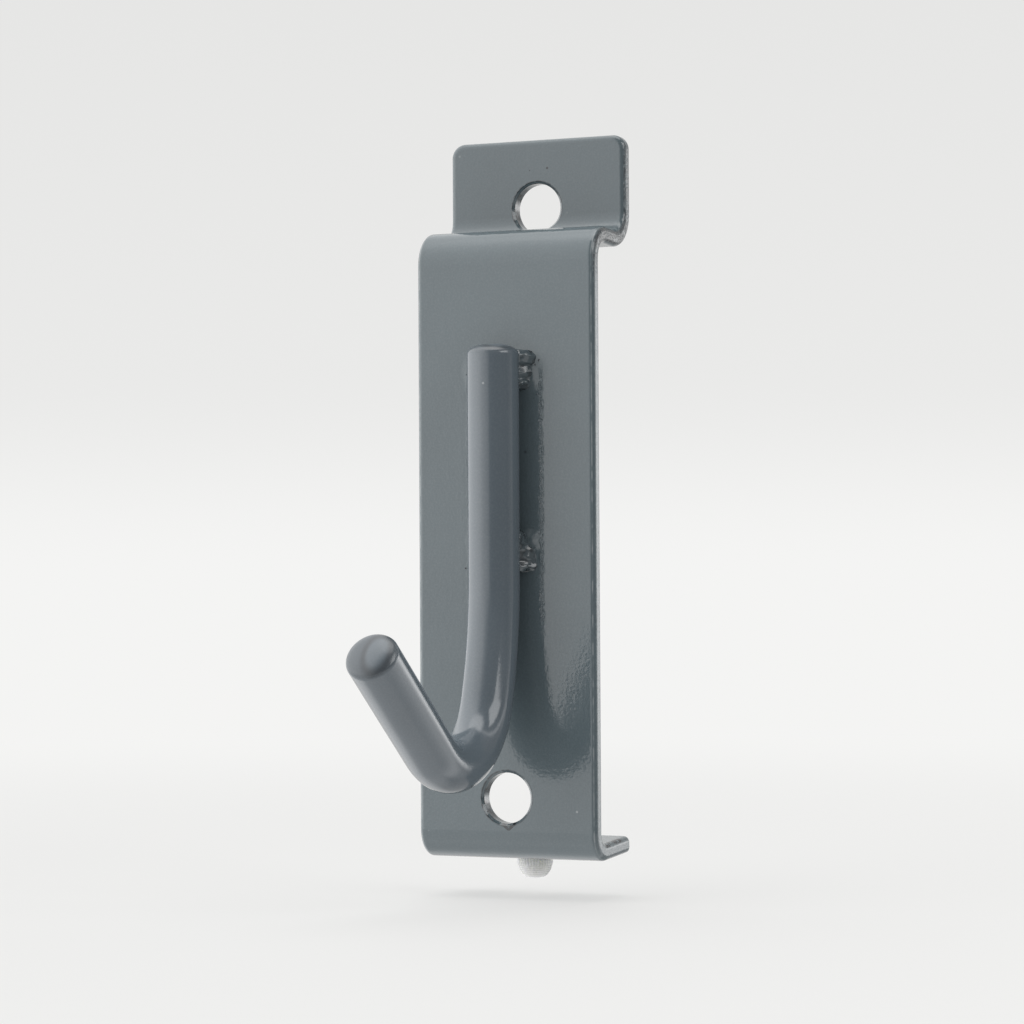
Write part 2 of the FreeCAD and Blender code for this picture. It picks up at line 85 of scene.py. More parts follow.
# Shear mark on the bar's ends: how far its middle lies off the axis, its half height,
# its height over its width, and the half width and depth of its groove
MARK_OFFSET = 1.0
MARK_RADIUS = 2.6
MARK_SQUEEZE = 1.75
MARK_HALF = 0.85
MARK_DEPTH = 0.045

# Dark ring of painted shade in the shear mark, for its groove's darker reflection: its share, how much
# less there is outside it, where it starts inside the groove's middle, in the groove's half widths,
# and where the drop starts and ends outside it
RING_SHADE = 0.62
RING_DROP = 0.32
RING_START = 1.2
RING_EDGE = 0.1
RING_FADE = 1.2
# How far down the bar an end's painted shade and roughness reach
CAP_REACH = 1.3
CAP_ROUGHNESS = 0.16

# Tones and gloss of the coat
SLATE = (0.131, 0.170, 0.187)
SLATE_LIGHT = (0.195, 0.235, 0.255)
SLATE_BAR = (0.130, 0.160, 0.185)
SLATE_BAR_LIGHT = (0.190, 0.220, 0.245)
# The weld's tone is darker than the plate's by painted shade of the crease between bar and plate
SLATE_WELD_SHADED = (0.088, 0.112, 0.125)
# Dark of bare metal for specks, tears, chips and nicks, also used as painted shade in the holes, on hole
# rims, on the sheared sides, in the bar's shear marks and in the weld's pits
BARE_DARK_AND_SHADE = (0.022, 0.026, 0.030)
# Pale of worn coat for specks, also used for the painted highlight on the plate's front edges
PALE_WEAR_AND_HIGHLIGHT = (0.36, 0.39, 0.40)
CLOUD_SHADE = 0.94
MOTTLE_SHARE = 0.22
PLATE_ROUGHNESS = 0.06
BAR_ROUGHNESS = 0.13
WELD_ROUGHNESS = 0.10
COAT_IOR = 1.8

# Noise scales of the coat, in waves per millimetre
CLOUD_SCALE = 0.09
MOTTLE_SCALE = 4.2
PEEL_SCALE = 0.85
TORN_SCALE = 1.7
BAR_GRAIN_SCALE = 3.0
PLATE_GRAIN_SCALE = 2.4
WELD_GRAIN_SCALE = 5.2
PIT_SCALE = 0.9

# Noise levels between which the coat's tone and roughness change, and how much they change
CLOUD_LEVELS = (0.35, 0.70)
MOTTLE_LEVELS = (0.35, 0.75)
ROUGH_LEVELS = (0.30, 0.75)
ROUGH_CHANGE = (-0.02, 0.03)
MOTTLE_ROUGHNESS = 0.03
# Weld pits: noise levels, and the share of painted shade in their hollows
PIT_LEVELS = (0.52, 0.40)
PIT_SHADE = 0.6

# Specks spread over the coat: cells per millimetre, size in cells and strength
PALE_DOTS = (0.13, 0.035, 0.5)
DARK_DOTS = (0.095, 0.03, 0.6)
# Share of a speck's size, and of a line's half width, that shows fully, and strength of single specks
SPECK_CORE = 0.4
LINE_CORE = 0.3
SPECK_STRENGTH = 0.9

# Relief of the coat in millimetres
BAR_PEEL_HEIGHT = 0.007
PLATE_PEEL_HEIGHT = 0.010
BAR_GRAIN_HEIGHT = 0.0048
PLATE_GRAIN_HEIGHT = 0.020
WELD_GRAIN_HEIGHT = 0.0012
PIT_HEIGHT = 0.012
TEAR_HEIGHT = 0.07

# Sheared sides: where the side begins, the heights where its torn patches and its shade gain,
# and where the shade ends
SIDE_EDGE = (PLATE_HALF_WIDTH - 0.30, PLATE_HALF_WIDTH - 0.10)
TEAR_GAIN = (31.0, 36.0)
SHADE_GAIN = (35.0, 37.5)
SHADE_END = (40.0, 42.0)
# Torn patches and shade: noise levels of the patches, their least gain, and both strengths
TEAR_LEVELS = (0.60, 0.44)
TEAR_LEAST = 0.25
TEAR_DARK = 0.60
SHADE_DARK = 0.5
# Darker tone of the tongue: the heights over which it grows, and its share
TONGUE_GAIN = (34.0, 44.0)
TONGUE_DARK = 0.12

# Painted highlight on the front edges, a pale line: place, half width and the scale of its unevenness
EDGE_HIGHLIGHT = PLATE_HALF_WIDTH - 0.36
EDGE_HIGHLIGHT_HALF = 0.10
EDGE_HIGHLIGHT_SCALE = 0.5
# Where the highlight ends behind the plate's rear face, and its noise levels and shares
EDGE_HIGHLIGHT_END = (1.2, 0.2)
EDGE_HIGHLIGHT_LEVELS = (0.42, 0.60)
EDGE_HIGHLIGHT_SHARES = (0.1, 0.75)

# Painted shade on a hole's wall: reach beyond its edge, margin at the sheet's faces and fade beyond it
WALL_REACH = (0.12, 0.02)
WALL_MARGIN = 0.05
WALL_FADE = 0.1
# Marks of the punch in the wall, and lines round it: stretch and scale of the noise, levels, least share
PUNCH_STRETCH = (1.2, 0.5, 1.2)
PUNCH_SCALE = 1.1
PUNCH_LEVELS = (0.60, 0.44)
PUNCH_LEAST = 0.20
LINES_STRETCH = (0.6, 4.5, 0.6)
LINES_SCALE = 0.9
LINES_LEVELS = (0.58, 0.42)
LINES_LEAST = 0.45

# Painted shade on the rim round each hole, a dark line: distance from the edge, half width, strength,
# noise levels and least share
RIM_OFFSET = 0.30
RIM_HALF = 0.15
RIM_SHADE = 0.75
RIM_LEVELS = (0.62, 0.40)
RIM_LEAST = 0.25

# Chip under the lower hole: its lowest point across and up, its half width, the slope and thickness
# of its flanks, and the rise over which it widens
CHIP = (0.25, -35.2)
CHIP_HALF = 0.85
CHIP_SLOPE = 0.8
CHIP_FLANK = 0.42
CHIP_RISE = 1.0
# The chip's soft edge, reach from the hole's edge, fades, share between the flanks, noise levels
# and shares, depths of the front face that it keeps to, and distances below the hole's middle
CHIP_SOFT = 0.05
CHIP_REACH = (0.9, 0.8)
CHIP_FADE = 0.2
CHIP_INSIDE = 0.35
CHIP_LEVELS = (0.66, 0.46)
CHIP_SHARES = (0.55, 0.95)
CHIP_FACE = (-1.6, -1.8)
CHIP_BELOW = (2.4, 2.6)

# Nicks on the foot's right edge: heights at the plate's rear face, depths, place across and noise scale
NICK_LEVELS = (-37.15, -36.5)
NICK_DEPTHS = (1.4, 6.2)
NICK_EDGE = (PLATE_HALF_WIDTH - 0.9, PLATE_HALF_WIDTH - 0.5)
NICK_SCALE = 1.1
NICK_NOISE = (0.56, 0.50)
# Fades of the nicks' heights and depths
NICK_FADES = (0.15, 0.6)

# Ripples beside the bar: distances from the plate's middle, heights, noise stretch and relief
STRIP_ACROSS = (3.4, 5.6)
STRIP_HEIGHTS = (-8.0, 20.0)
RIPPLE_STRETCH = (2.6, 1.0, 0.9)
RIPPLE_HEIGHT = 0.016
# Fades of the strip across and up, and depths over which the plate's front face begins
STRIP_FADES = (1.2, 3.0)
FRONT_FACE = (-1.6, -1.9)
# Seams in the ripples: distance from the plate's middle and scale of their wander,
# then how far they wander, half width, noise levels, relief and its share on the left
SEAMS = ((4.80, 1.3), (5.10, 0.9))
SEAM_WANDER = 0.8
SEAM_HALF = 0.18
SEAM_LEVELS = (0.40, 0.56)
SEAM_HEIGHT = 0.060
SEAM_LEFT_SHARE = 0.3
# Coat heaped beside each weld: middle height, half height and reach out from where it starts
SKIRTS = ((21.7, 3.3, 3.4), (0.7, 1.7, 3.0))
SKIRT_START = 2.6
SKIRT_SLOPE = (1.0, 0.1)
SKIRT_HEIGHT = 0.30

# Welds: height on the plate, reach to the left and right of the bar's middle,
# and how far up the bar the bead climbs, in degrees from the bar's rear
UPPER_WELD = (
    (24.35, 2.0, 2.3, 30), (24.05, 3.5, 3.8, 66), (23.4, 4.0, 4.35, 74), (22.7, 4.1, 4.2, 68),
    (22.2, 3.9, 3.6, 56), (21.4, 4.2, 3.8, 62), (20.6, 4.0, 3.5, 56), (20.0, 3.9, 3.6, 66),
    (19.5, 3.6, 3.3, 56), (19.15, 2.2, 2.3, 30),
)
LOWER_WELD = (
    (1.95, 2.0, 2.1, 30), (1.6, 3.4, 2.9, 70), (0.8, 3.9, 3.05, 76), (0.1, 4.2, 3.3, 60),
    (-0.6, 4.0, 4.1, 52), (-1.8, 4.2, 4.3, 50), (-2.5, 4.1, 4.35, 60), (-3.0, 3.6, 4.0, 56),
    (-3.35, 2.2, 2.3, 30),
)
# Lumps on the beads: height, place between plate and bar from 0 to 1, radius and swell
UPPER_LUMPS = (
    (23.4, 0.40, 1.15, 0.22), (21.4, 0.35, 0.65, 0.16), (20.3, 0.70, 0.35, 0.20), (20.0, 0.35, 0.35, 0.18),
)
LOWER_LUMPS = (
    (1.2, 0.70, 0.45, 0.32), (0.2, 0.80, 0.50, 0.20), (-2.5, 0.20, 0.28, 0.18), (-2.6, 0.48, 0.30, 0.20),
    (-2.2, 0.80, 0.35, 0.20),
)
# Beads: rings, steps across each side and steps in each hidden stretch
BEAD_ROWS = 56
BEAD_STEPS = 16
BEAD_HIDDEN = 5
# How full the fillet is, from 0 along the plate and bar to 1 at the square's corner
BEAD_FULLNESS = 0.42
# How far a bead's hidden rear goes into the bar and into the plate, and its foot into the plate
BEAD_IN_BAR = 0.6
BEAD_IN_PLATE = 0.5
BEAD_FOOT = 0.05
# Lumps: a bead's side counted in millimetres, and the share of their swell across and forward
LUMP_SPREAD = 2.2
LUMP_PUSH = 0.7
# Size and scale of the beads' unevenness: coarse, fine and along the height
BEAD_COARSE = (0.14, 0.85)
BEAD_FINE = (0.03, 2.1)
BEAD_SHIFT = (0.45, 0.8)

# Spatter on each side of a weld: count, distances from the middle, reach below and above the weld,
# sizes, depth of the drops' middles and their steps
SPATTER_COUNT = 5
SPATTER_ACROSS = (4.0, 5.4)
SPATTER_BELOW = 0.6
SPATTER_ABOVE = 0.2
SPATTER_SIZES = (0.05, 0.13)
SPATTER_SUNK = 0.02
DROP_AROUND = 10
DROP_LEVELS = 5
# Seeds of the beads' unevenness and spatter
UPPER_SEED = 3
LOWER_SEED = 8

# Plug: its seat on the foot's lower face, and radius and height along its axis
PLUG_SEAT = (0.0, 6.6, -38.495)
PLUG_PROFILE = (
    (0.001, 2.70), (1.00, 2.70), (1.75, 2.68), (2.00, 2.56), (2.10, 2.38), (2.10, 2.10), (1.40, 2.10),
    (1.40, 0.0), (2.14, 0.0), (2.30, -0.06), (2.30, -0.30), (2.28, -0.70), (2.25, -1.10), (2.21, -1.40),
    (2.12, -1.46), (2.13, -1.66), (2.05, -1.72), (2.06, -1.92), (1.97, -1.98), (1.97, -2.16),
    (1.86, -2.22), (1.85, -2.38), (1.73, -2.44), (1.70, -2.58), (1.58, -2.64), (1.54, -2.76),
    (1.44, -2.84), (1.34, -2.93), (1.20, -2.99), (1.00, -3.0), (0.001, -3.0),
)
# Knurl: grooves, steps in each, depth, heights where it is deep, and its share below them
KNURL_COUNT = 36
KNURL_STEPS = 6
KNURL_DEPTH = 0.060
KNURL_HEIGHTS = (-1.45, -0.05)
KNURL_FAINT = 0.3
SMALLEST_RADIUS = 0.0005
# Painted shade in the knurl's grooves and at the moulded rings, as lines in the plastic's colour: spacing
# of the rings, parts of each wave, drops below the seat and their fades
MOULD_SPACING = 0.26
KNURL_WAVE = (0.0, 0.9)
MOULD_WAVE = (0.1, 0.9)
KNURL_DROPS = (0.0, 1.5)
MOULD_DROPS = (1.4, 2.8)
KNURL_FADE = 0.1
MOULD_FADE = 0.05

# Clear plastic
CLEAR_TINT = (0.94, 0.95, 0.91)
CLEAR_CLOUD = (0.98, 0.98, 0.95)
# Darker colour of painted shade in the plug's grooves and at its rings, and its share
CLEAR_GROOVE_SHADE = (0.66, 0.68, 0.63)
CLEAR_GROOVE_SHADE_SHARE = 0.75
CLEAR_IOR = 1.49
CLEAR_THROUGH = 0.10
CLEAR_MILKY = 0.8
CLEAR_DEPTH = 2.8
CLEAR_SPREAD = (1.0, 1.0, 0.9)
CLEAR_ROUGHNESS = (0.22, 0.38)
CLEAR_CLOUD_SCALE = 0.5
CLEAR_CLOUD_LEVELS = (0.3, 0.7)
CLEAR_SCUFF_SCALE = 3.5
CLEAR_SCUFF_LEVELS = (0.3, 0.8)
CLEAR_SCUFF_HEIGHT = 0.01
CLEAR_SCUFF_STRENGTH = 0.6

# Single specks that stand out: place and size
PLATE_DARK_SPECKS = (((1.45, 8.3, 47.98), 0.22), ((-0.97, 8.3, 47.8), 0.12))
PLATE_LIGHT_SPECKS = (((9.43, -2.1, -32.57), 0.20),)
BAR_LIGHT_SPECKS = (((0.12, -8.7, 19.88), 0.20),)

# Camera
TARGET = Vector((0.88, -1.93, 4.24)) * MM
CAMERA_AZIMUTH = math.radians(24)
CAMERA_ELEVATION = math.radians(-1.07)
CAMERA_DISTANCE = 400 * MM
CAMERA_ROLL = math.radians(0.32)
SENSOR = 36.0
FOCAL_PIXELS = 3235
IMAGE_WIDTH = 1024

# Studio, in metres
FLOOR_HEIGHT = -43.7 * MM
FLOOR_HALF = 6.0
FLOOR_COLOUR = (0.705, 0.705, 0.697)
FLOOR_SHOWN = (0.905, 0.905, 0.895)
FLOOR_ROUGHNESS = 0.28
# The floor turns from lit to plain between two distances in metres, from a first share of plain
FLOOR_FADE = (0.09, 0.40)
FLOOR_FIRST_PLAIN = 0.596
# Shown background: its levels at the horizon and a little above, the sine of that height,
# and how much darker it is at a greater one
PALE_HORIZON = 0.905
PALE_ABOVE = 0.820
PALE_ABOVE_SINE = 0.065
PALE_TOP_SINE = 0.30
PALE_TOP_DROP = 0.06
PALE_BLUE_SHARE = 0.99
# Brightness of the tent at eye level, above and below, by azimuth in degrees from straight in front
# of the plate towards +X
TENT_LEVEL = (
    (-180, 0.90), (-140, 0.90), (-127, 2.30), (-111, 1.80), (-90, 2.20), (-62, 2.30), (-40, 2.10),
    (-22, 1.40), (-12, 1.20), (-4, 0.98), (3, 0.84), (6.5, 0.20), (16, 0.11), (90, 0.12), (118, 0.50),
    (129, 1.70), (142, 2.40), (149, 2.80), (157.5, 3.40), (163, 1.60), (172, 0.80), (180, 0.90),
)
TENT_HIGH = (
    (-180, 0.80), (-165, 1.20), (-150, 1.60), (-60, 2.10), (-20, 1.50), (-5, 0.60), (8, 0.22),
    (115, 0.22), (119.5, 1.70), (122, 1.70), (126, 0.35), (150, 0.22), (157.5, 1.50), (163, 0.60),
    (180, 0.80),
)
TENT_BELOW = (
    (-180, 0.60), (-165, 0.70), (-150, 1.30), (-120, 1.95), (-90, 1.50), (-22, 1.20), (5, 0.65),
    (40, 0.68), (121, 0.80), (129, 1.05), (138, 1.40), (143, 1.30), (149, 0.60), (156, 0.45),
    (180, 0.60),
)
TENT_ZENITH = 2.8
TENT_NADIR = 1.05
TENT_BRIGHTEST = 3.5
# Sines of the heights between which one level of the tent gives way to the next
HIGH_SINES = (0.05, 0.20)
BELOW_SINES = (0.02, -0.26)
ZENITH_SINES = (0.88, 0.97)
NADIR_SINES = (-0.72, -0.92)
# Cosines of the angle from the view's direction between which mirrored and transmitted rays turn
# from the tent to the shown background
SHOWN_COSINES = (0.80, 0.94)


# Node helpers


class Nodes:
    """Short ways to add and join shader nodes in one tree."""

    def __init__(self, tree):
        self.tree = tree
        tree.nodes.clear()

    def add(self, kind, **settings):
        node = self.tree.nodes.new("ShaderNode" + kind)
        for name, value in settings.items():
            setattr(node, name, value)
        return node

    def join(self, source, target):
        self.tree.links.new(source, target)

    def put(self, socket, value):
        if isinstance(value, bpy.types.NodeSocket):
            self.join(value, socket)
        else:
            socket.default_value = value

    def math(self, operation, first, second=0.0, clamp=False):
        node = self.add("Math", operation=operation, use_clamp=clamp)
        self.put(node.inputs[0], first)
        self.put(node.inputs[1], second)
        return node.outputs[0]

    def times(self, *factors):
        product = factors[0]
        for factor in factors[1:]:
            product = self.math("MULTIPLY", product, factor)
        return product

    def plus(self, first, second, clamp=False):
        return self.math("ADD", first, second, clamp)

    def minus(self, first, second):
        return self.math("SUBTRACT", first, second)

    def absolute(self, value):
        return self.math("ABSOLUTE", value)

    def length(self, first, second):
        """Length of the step that two steps at a right angle make."""
        return self.math("SQRT", self.plus(self.times(first, first), self.times(second, second)))

    def blend(self, share, first, second):
        node = self.add("Mix", data_type="FLOAT")
        self.put(node.inputs["Factor"], share)
        self.put(node.inputs["A"], first)
        self.put(node.inputs["B"], second)
        return node.outputs["Result"]

    def ramp(self, value, low, high, low_out=0.0, high_out=1.0, smooth=True):
        kind = "SMOOTHSTEP" if smooth else "LINEAR"
        node = self.add("MapRange", interpolation_type=kind)
        self.put(node.inputs["Value"], value)
        self.put(node.inputs["From Min"], low)
        self.put(node.inputs["From Max"], high)
        self.put(node.inputs["To Min"], low_out)
        self.put(node.inputs["To Max"], high_out)
        return node.outputs["Result"]

    def near(self, value, middle, half):
        """1 at the middle value, fading to 0 at the half width on both sides."""
        return self.ramp(self.absolute(self.minus(value, middle)), half, half * LINE_CORE)

    def between(self, value, low, high, soft):
        """1 between two values, fading out over the soft width."""
        return self.times(self.ramp(value, low - soft, low), self.ramp(value, high, high + soft, 1.0, 0.0))

    def mix_colour(self, factor, first, second):
        node = self.add("Mix", data_type="RGBA")
        self.put(node.inputs["Factor"], factor)
        self.put(node.inputs["A"], rgba(first))
        self.put(node.inputs["B"], rgba(second))
        return node.outputs["Result"]

    def noise(self, vector, scale, detail=2.0, roughness=0.5):
        node = self.add("TexNoise")
        self.join(vector, node.inputs["Vector"])
        node.inputs["Scale"].default_value = scale
        node.inputs["Detail"].default_value = detail
        node.inputs["Roughness"].default_value = roughness
        return node.outputs["Fac"]

    def dots(self, vector, scale, size):
        """Sparse soft spots, one in each cell of a loose grid."""
        node = self.add("TexVoronoi", feature="F1")
        self.join(vector, node.inputs["Vector"])
        node.inputs["Scale"].default_value = scale
        return self.ramp(node.outputs["Distance"], size, size * SPECK_CORE)

    def vector_math(self, operation, vector, other, output):
        node = self.add("VectorMath", operation=operation)
        self.join(vector, node.inputs[0])
        node.inputs[1].default_value = other
        return node.outputs[output]

    def distance(self, vector, centre):
        return self.vector_math("DISTANCE", vector, centre, "Value")

    def dot(self, vector, way):
        return self.vector_math("DOT_PRODUCT", vector, way, "Value")

    def stretch(self, vector, factors):
        return self.vector_math("MULTIPLY", vector, factors, "Vector")

    def place(self):
        """Place on the object in millimetres."""
        scale = self.add("VectorMath", operation="SCALE")
        self.join(self.add("TexCoord").outputs["Object"], scale.inputs[0])
        scale.inputs["Scale"].default_value = 1 / MM
        return scale.outputs[0]

    def split(self, vector):
        node = self.add("SeparateXYZ")
        self.join(vector, node.inputs[0])
        return tuple(node.outputs)

    def bump(self, height, depth, strength=1.0, normal=None):
        """A relief of a depth in millimetres, over another one."""
        node = self.add("Bump")
        node.inputs["Strength"].default_value = strength
        node.inputs["Distance"].default_value = depth * MM
        self.join(height, node.inputs["Height"])
        if normal:
            self.join(normal, node.inputs["Normal"])
        return node.outputs["Normal"]

    def show(self, shader, output="OutputMaterial"):
        self.join(shader.outputs[0], self.add(output).inputs["Surface"])


def rgba(colour):
    if isinstance(colour, bpy.types.NodeSocket):
        return colour
    return (*colour, 1.0)


def new_material(name):
    material = bpy.data.materials.new(name)
    material.use_nodes = True
    return material, Nodes(material.node_tree)


# Materials


class Coat:
    """A powder coat in the making: its tone, its roughness, and its relief as heights and depths."""

    def __init__(self, name, colour, light, roughness):
        self.material, self.nodes = new_material(name)
        nodes = self.nodes
        self.place = nodes.place()
        cloud = nodes.noise(self.place, CLOUD_SCALE, 3)
        mottle = nodes.noise(self.place, MOTTLE_SCALE, 2)
        shaded = tuple(channel * CLOUD_SHADE for channel in colour)
        self.tone = nodes.mix_colour(nodes.ramp(cloud, *CLOUD_LEVELS), colour, shaded)
        self.paint_stain_and_light(nodes.ramp(mottle, *MOTTLE_LEVELS, 0.0, MOTTLE_SHARE), light)
        for (scale, size, strength), dot_colour in ((PALE_DOTS, PALE_WEAR_AND_HIGHLIGHT), (DARK_DOTS, BARE_DARK_AND_SHADE)):
            self.paint_stain_and_light(nodes.times(nodes.dots(self.place, scale, size), strength), dot_colour)
        least, most = (roughness + change for change in ROUGH_CHANGE)
        rough = nodes.ramp(cloud, *ROUGH_LEVELS, least, most)
        self.rough = nodes.plus(rough, nodes.times(mottle, MOTTLE_ROUGHNESS))
        self.relief = []

    # Mixes a colour into the tone: real stains and wear, and also painted shade and a painted highlight
    def paint_stain_and_light(self, share, colour=BARE_DARK_AND_SHADE):
        self.tone = self.nodes.mix_colour(share, self.tone, colour)

    def add_specks(self, specks, colour=BARE_DARK_AND_SHADE):
        for centre, size in specks:
            off = self.nodes.distance(self.place, centre)
            self.paint_stain_and_light(self.nodes.ramp(off, size, size * SPECK_CORE, 0.0, SPECK_STRENGTH), colour)

    def peel(self):
        """The coat's orange peel, as a noise."""
        return self.nodes.noise(self.place, PEEL_SCALE, 2, 0.45)

    def finish(self):
        """Join tone, roughness and relief into the coat's shader."""
        shader = self.nodes.add("BsdfPrincipled")
        self.nodes.join(self.tone, shader.inputs["Base Color"])
        self.nodes.join(self.rough, shader.inputs["Roughness"])
        shader.inputs["IOR"].default_value = COAT_IOR
        normal = None
        for height, depth in self.relief:
            normal = self.nodes.bump(height, depth, normal=normal)
        self.nodes.join(normal, shader.inputs["Normal"])
        self.nodes.show(shader)
        return self.material


def bar_coat():
    """Semi-gloss coat on the bar, with a dark ring of painted shade in the shear mark on both ends."""
    coat = Coat("bar_powder_coat", SLATE_BAR, SLATE_BAR_LIGHT, BAR_ROUGHNESS)
    nodes = coat.nodes
    path = bar_path()
    start, start_way = path[0]
    ring_outside = MARK_RADIUS + RING_EDGE
    for end, outward in ((start, -start_way), path[-1]):
        middle = ((end.x + MARK_OFFSET) * MARK_SQUEEZE, end.y, end.z)
        off = nodes.distance(nodes.stretch(coat.place, (MARK_SQUEEZE, 1, 1)), middle)
        rise = nodes.ramp(off, MARK_RADIUS - MARK_HALF * RING_START, ring_outside, 0.0, RING_SHADE)
        drop = nodes.ramp(off, ring_outside, MARK_RADIUS + RING_FADE, 0.0, RING_DROP)
        face = end.dot(outward)
        cap = nodes.ramp(nodes.dot(coat.place, outward), face - CAP_REACH, face - CAP_REACH / 2)
        # Painted shade: the dark ring in the shear mark's groove
        coat.paint_stain_and_light(nodes.times(nodes.minus(rise, drop), cap))
        coat.rough = nodes.plus(coat.rough, nodes.times(cap, CAP_ROUGHNESS))
    coat.add_specks(BAR_LIGHT_SPECKS, PALE_WEAR_AND_HIGHLIGHT)
    grain = nodes.noise(coat.place, BAR_GRAIN_SCALE)
    coat.relief = [(coat.peel(), BAR_PEEL_HEIGHT), (grain, BAR_GRAIN_HEIGHT)]
    return coat.finish()


def weld_coat():
    """The coat over a weld: darker with painted shade of the crease between bar and plate, pooled, and
    pitted with painted shade in the pits' hollows.
    """
    coat = Coat("weld_powder_coat", SLATE_WELD_SHADED, SLATE, WELD_ROUGHNESS)
    pit = coat.nodes.noise(coat.place, PIT_SCALE, 2, 0.4)
    # Painted shade in the pits' hollows
    coat.paint_stain_and_light(coat.nodes.ramp(pit, *PIT_LEVELS, 0.0, PIT_SHADE))
    grain = coat.nodes.noise(coat.place, WELD_GRAIN_SCALE)
    coat.relief = [(pit, PIT_HEIGHT), (grain, WELD_GRAIN_HEIGHT)]
    return coat.finish()


class PlateCoat(Coat):
    """The coat on the folded plate, with wear, painted shade and a painted highlight placed by height,
    depth and distance from its middle.
    """

    def __init__(self):
        super().__init__("plate_powder_coat", SLATE, SLATE_LIGHT, PLATE_ROUGHNESS)
        self.x, self.y, self.z = self.nodes.split(self.place)
        self.beside = self.nodes.absolute(self.x)
        self.torn = self.nodes.noise(self.place, TORN_SCALE, 4, 0.65)

    def tear_sides(self):
        """Torn patches on the sheared sides, strongest at the top, and a shade. Gives their relief."""
        nodes = self.nodes
        side = nodes.ramp(self.beside, *SIDE_EDGE)
        gain = nodes.ramp(self.z, *TEAR_GAIN, TEAR_LEAST, 1.0)
        tear = nodes.times(nodes.ramp(self.torn, *TEAR_LEVELS), gain, side, TEAR_DARK)
        self.paint_stain_and_light(tear)
        shade = nodes.times(side, nodes.ramp(self.z, *SHADE_GAIN, 0.0, SHADE_DARK))
        self.paint_stain_and_light(nodes.times(shade, nodes.ramp(self.z, *SHADE_END, 1.0, 0.0)))
        return nodes.times(self.torn, tear)

    def paint_edge_highlight(self):
        """A painted highlight: an uneven pale line down the front edges."""
        nodes = self.nodes
        front = nodes.ramp(self.y, *EDGE_HIGHLIGHT_END)
        uneven = nodes.noise(self.place, EDGE_HIGHLIGHT_SCALE, 2)
        uneven = nodes.ramp(uneven, *EDGE_HIGHLIGHT_LEVELS, *EDGE_HIGHLIGHT_SHARES)
        highlight = nodes.times(nodes.near(self.beside, EDGE_HIGHLIGHT, EDGE_HIGHLIGHT_HALF), front, uneven)
        self.paint_stain_and_light(highlight, PALE_WEAR_AND_HIGHLIGHT)

    def shade_hole(self, height, face):
        """Painted shade on a hole's wall, broken up by marks of the punch, and a painted dark line on its
        rim. Gives the reach from its axis.
        """
        nodes = self.nodes
        reach = nodes.length(self.x, nodes.minus(self.z, height))
        through = nodes.between(self.y, face - WALL_MARGIN, face + SHEET + WALL_MARGIN, WALL_FADE)
        wall_shade = nodes.ramp(reach, *(HOLE_RADIUS + beyond for beyond in WALL_REACH))
        marks = nodes.noise(nodes.stretch(self.place, PUNCH_STRETCH), PUNCH_SCALE, 4, 0.6)
        lines = nodes.noise(nodes.stretch(self.place, LINES_STRETCH), LINES_SCALE, 2, 0.5)
        marks = nodes.ramp(marks, *PUNCH_LEVELS, PUNCH_LEAST, 1.0)
        lines = nodes.ramp(lines, *LINES_LEVELS, LINES_LEAST, 1.0)
        self.paint_stain_and_light(nodes.times(wall_shade, through, marks, lines))
        rim_shade = nodes.near(reach, HOLE_RADIUS + RIM_OFFSET, RIM_HALF)
        uneven = nodes.ramp(self.torn, *RIM_LEVELS, RIM_LEAST, 1.0)
        self.paint_stain_and_light(nodes.times(rim_shade, RIM_SHADE, uneven, through))
        return reach

    def chip_rim(self, reach):
        """A dark pointed chip at the lower hole, darker along its two flanks."""
        nodes = self.nodes
        across, up = CHIP
        off = nodes.absolute(nodes.minus(self.x, across))
        rise = nodes.minus(self.z, up)
        wedge = nodes.minus(rise, nodes.times(off, CHIP_SLOPE))
        flank = nodes.minus(off, nodes.times(nodes.ramp(rise, 0.0, CHIP_RISE), CHIP_HALF))
        hole_height = HOLES[1][0]
        self.paint_stain_and_light(nodes.times(
            nodes.ramp(wedge, -CHIP_SOFT, CHIP_SOFT),
            nodes.ramp(reach, *(HOLE_RADIUS + beyond for beyond in CHIP_REACH)),
            nodes.ramp(off, CHIP_HALF + CHIP_FADE, CHIP_HALF),
            nodes.ramp(nodes.absolute(flank), CHIP_FLANK, CHIP_FLANK - CHIP_FADE, CHIP_INSIDE, 1.0),
            nodes.ramp(self.torn, *CHIP_LEVELS, *CHIP_SHARES),
            nodes.ramp(self.y, *CHIP_FACE),
            nodes.ramp(self.z, *(hole_height - below for below in CHIP_BELOW)),
        ))

    def nick_foot(self):
        """Nicks along the foot's right edge, which rises to the rear."""
        nodes = self.nodes
        level = nodes.minus(self.z, nodes.times(self.y, math.tan(FOOT_SLOPE)))
        level_fade, depth_fade = NICK_FADES
        self.paint_stain_and_light(nodes.times(
            nodes.between(level, *NICK_LEVELS, level_fade),
            nodes.between(self.y, *NICK_DEPTHS, depth_fade),
            nodes.ramp(self.x, *NICK_EDGE),
            nodes.ramp(nodes.noise(self.place, NICK_SCALE, 3), *NICK_NOISE),
        ))

